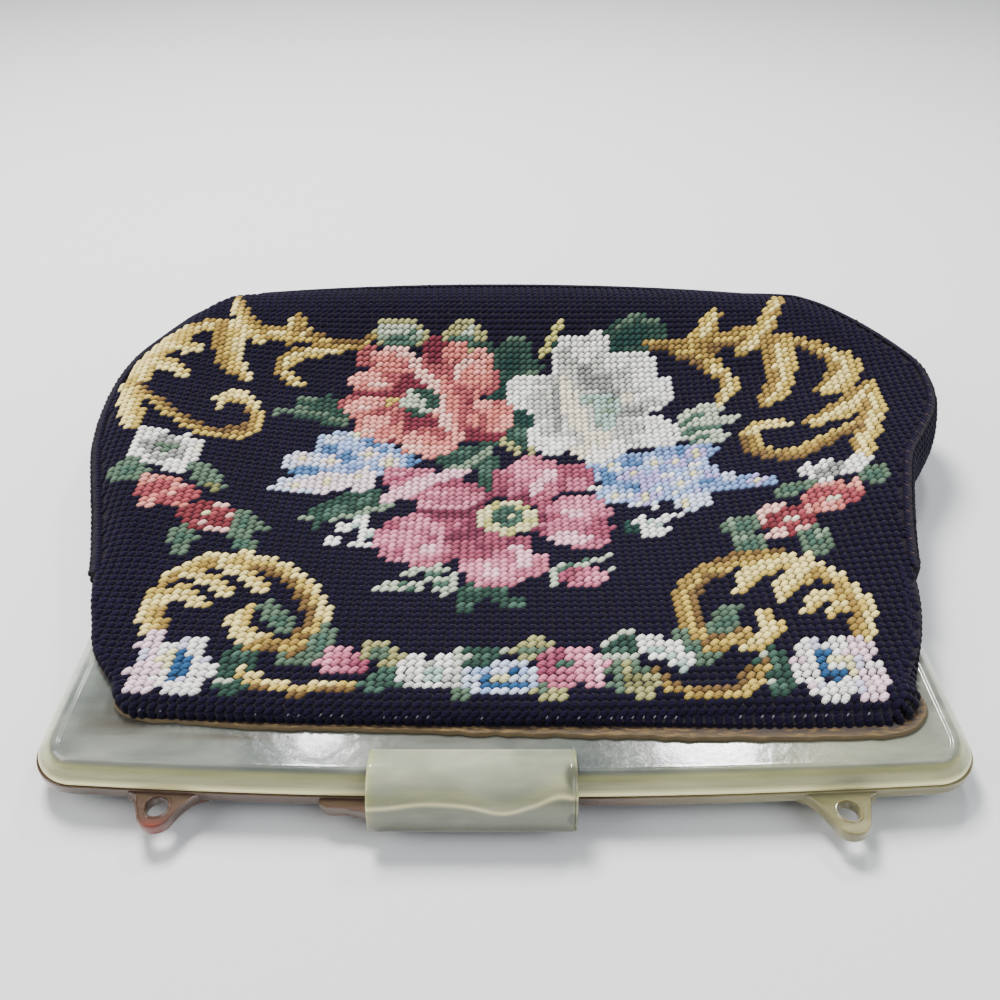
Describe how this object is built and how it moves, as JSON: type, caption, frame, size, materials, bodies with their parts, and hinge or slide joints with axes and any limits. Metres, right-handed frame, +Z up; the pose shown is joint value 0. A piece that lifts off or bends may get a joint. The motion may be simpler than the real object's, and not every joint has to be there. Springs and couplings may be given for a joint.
{
  "type": "frame handbag",
  "caption": "Needlepoint handbag lying on its back, with a padded floral body on a moulded plastic hinged frame, handle ears and a turning C-shaped clasp cover",
  "frame": {"origin": "middle of the bag's outline, on the surface it lies on", "axes": "+Z up from the surface through the needlepoint front, +Y from the frame towards the bottom of the bag, +X across the bag along the frame"},
  "size_m": [0.2958, 0.2334, 0.0409],
  "materials": {
    "celluloid": "polished marbled plastic",
    "steel": "plain wire",
    "needlepoint": "wool tent stitch on canvas",
    "glued_strip": "matt, stained with glue"
  },
  "bodies": {
    "bag": {"frame_front": "celluloid", "frame_back": "celluloid", "hinge_pin_left": "steel", "hinge_pin_right": "steel", "clasp_pin": "steel", "edging": "glued_strip", "front_panel": "needlepoint", "gusset": "needlepoint", "back_panel": "needlepoint"},
    "clasp_cover": {"clasp_cover": "celluloid"}
  },
  "joints": [
    {"name": "clasp_hinge", "type": "hinge", "parent": "bag", "child": "clasp_cover", "pos_m": [-0.01376, -0.11003, 0.0067], "axis": [1, 0, 0], "range_deg": [0, 85]}
  ]
}
